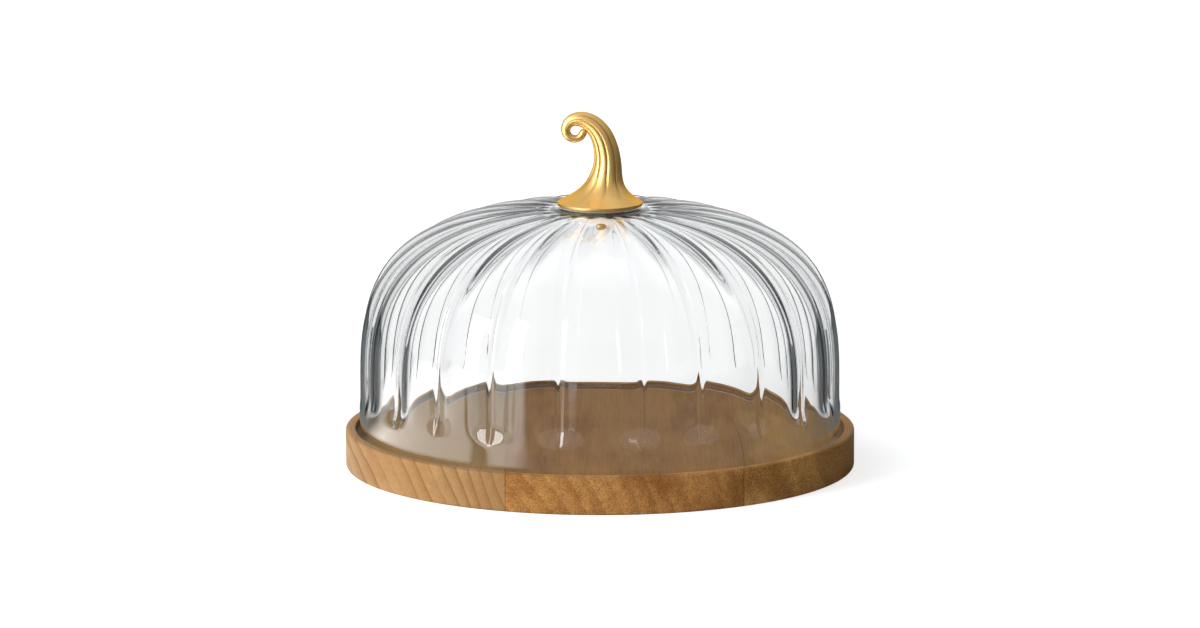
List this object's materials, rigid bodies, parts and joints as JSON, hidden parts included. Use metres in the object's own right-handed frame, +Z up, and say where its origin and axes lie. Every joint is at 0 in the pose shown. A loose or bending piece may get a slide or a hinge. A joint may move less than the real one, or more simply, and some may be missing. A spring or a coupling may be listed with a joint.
{
  "type": "cheese dome",
  "caption": "Fluted clear glass cheese dome with a curled satin brass stem handle, standing in the shallow recess of a round wooden serving board.",
  "frame": {"origin": "centre of the board's underside, on the common axis of board, glass cover and stem", "axes": "+Z up along that axis, -Y towards the front; the stem curls towards -X"},
  "size_m": [0.254, 0.254, 0.1778],
  "materials": {
    "wood": "oiled, turned",
    "clear_glass": "clear, fire-polished",
    "satin_brass": "satin, cast",
    "plain_brass": "turned, bright",
    "clear_rubber": "matt, translucent"
  },
  "bodies": {
    "board": {"board_stave_left": "wood", "board_stave_middle": "wood", "board_stave_right": "wood"},
    "cover": {"glass_dome": "clear_glass", "brass_stem": "satin_brass", "stem_stud": "plain_brass", "foot_gasket": "clear_rubber", "hole_bush": "clear_rubber", "clamp_gasket": "clear_rubber", "clamp_washer": "plain_brass", "cap_nut": "plain_brass"}
  },
  "joints": [
    {"name": "dome_lift", "type": "slide", "parent": "board", "child": "cover", "axis": [0, 0, 1], "range_m": [0, 0.2]}
  ]
}
